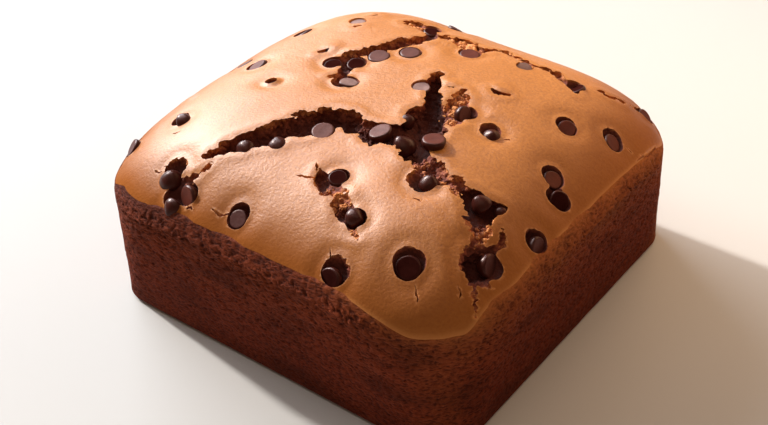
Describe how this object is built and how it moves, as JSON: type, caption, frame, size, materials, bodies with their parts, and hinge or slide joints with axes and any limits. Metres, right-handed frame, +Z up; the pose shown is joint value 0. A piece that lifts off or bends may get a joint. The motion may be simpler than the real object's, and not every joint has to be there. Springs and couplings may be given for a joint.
{
  "type": "castella sponge cake",
  "caption": "Square uncut castella sponge cake with a domed, cracked smooth top, porous peeled sides and chocolate chips set in pockets of the skin.",
  "frame": {"origin": "middle of the cake's bounding box in X and Y, on the flat base it stands on", "axes": "+Z up through the domed top; X and Y square to the four sides, with -Y and +X the two sides that the long crack and its corner branch run towards"},
  "size_m": [0.18, 0.176, 0.0825],
  "materials": {
    "sponge": "satin tan baked skin over matt dark brown porous crumb",
    "chocolate": "satin to glossy dark chocolate"
  },
  "bodies": {
    "root": {"cake": "sponge", "chip_01": "chocolate", "chip_02": "chocolate", "chip_03": "chocolate", "chip_04": "chocolate", "chip_05": "chocolate", "chip_06": "chocolate", "chip_07": "chocolate", "chip_08": "chocolate", "chip_09": "chocolate", "chip_10": "chocolate", "chip_11": "chocolate", "chip_12": "chocolate", "chip_13": "chocolate", "chip_14": "chocolate", "chip_15": "chocolate", "chip_16": "chocolate", "chip_17": "chocolate", "chip_18": "chocolate", "chip_19": "chocolate", "chip_20": "chocolate", "chip_21": "chocolate", "chip_22": "chocolate", "chip_23": "chocolate", "chip_24": "chocolate", "chip_25": "chocolate", "chip_26": "chocolate", "chip_27": "chocolate", "chip_28": "chocolate", "chip_29": "chocolate", "chip_30": "chocolate", "chip_31": "chocolate", "chip_32": "chocolate", "chip_33": "chocolate", "chip_34": "chocolate", "chip_35": "chocolate", "chip_36": "chocolate", "chip_37": "chocolate", "chip_38": "chocolate", "chip_39": "chocolate", "chip_40": "chocolate", "chip_41": "chocolate", "chip_42": "chocolate", "chip_43": "chocolate", "chip_44": "chocolate", "chip_45": "chocolate", "chip_46": "chocolate", "chip_47": "chocolate", "chip_48": "chocolate", "chip_49": "chocolate", "chip_50": "chocolate"}
  },
  "joints": []
}
